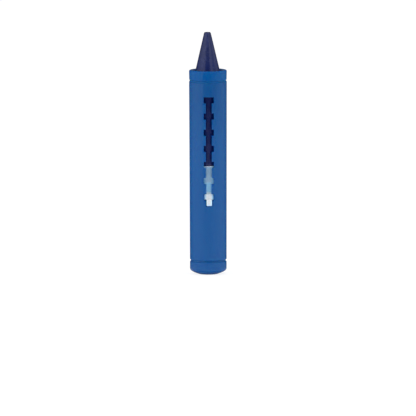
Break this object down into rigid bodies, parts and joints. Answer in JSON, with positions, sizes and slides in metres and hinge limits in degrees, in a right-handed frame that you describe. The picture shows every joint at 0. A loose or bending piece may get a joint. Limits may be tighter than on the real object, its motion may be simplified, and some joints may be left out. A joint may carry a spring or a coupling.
{
  "type": "bath crayon",
  "caption": "Push-up bath crayon: a round barrel with a notched slot, front collar and end cap, holding a cone-pointed wax stick in a sprung carrier.",
  "frame": {"origin": "middle of the flat foot in the domed end cap", "axes": "+Z along the barrel towards the crayon's point, the notched slot faces -Y"},
  "size_m": [0.018, 0.0186, 0.116],
  "materials": {
    "barrel_plastic": "satin moulded plastic, mid blue",
    "wax": "smooth cast bath wax, dark navy blue",
    "carrier_plastic": "milky translucent moulded plastic"
  },
  "bodies": {
    "root": {"barrel": "barrel_plastic", "nose_collar": "barrel_plastic", "end_cap": "barrel_plastic"},
    "carrier": {"carrier": "carrier_plastic", "crayon_stick": "wax"},
    "latch": {"latch_arm": "carrier_plastic"}
  },
  "joints": [
    {"name": "carrier_slide", "type": "slide", "parent": "root", "child": "carrier", "axis": [0, 0, 1], "range_m": [0, 0.0465]},
    {"name": "latch_press", "type": "hinge", "parent": "carrier", "child": "latch", "pos_m": [0, -0.0062, 0.04359], "axis": [1, 0, 0], "range_deg": [0, 14], "stiffness_Nm_per_rad": 0.02}
  ]
}
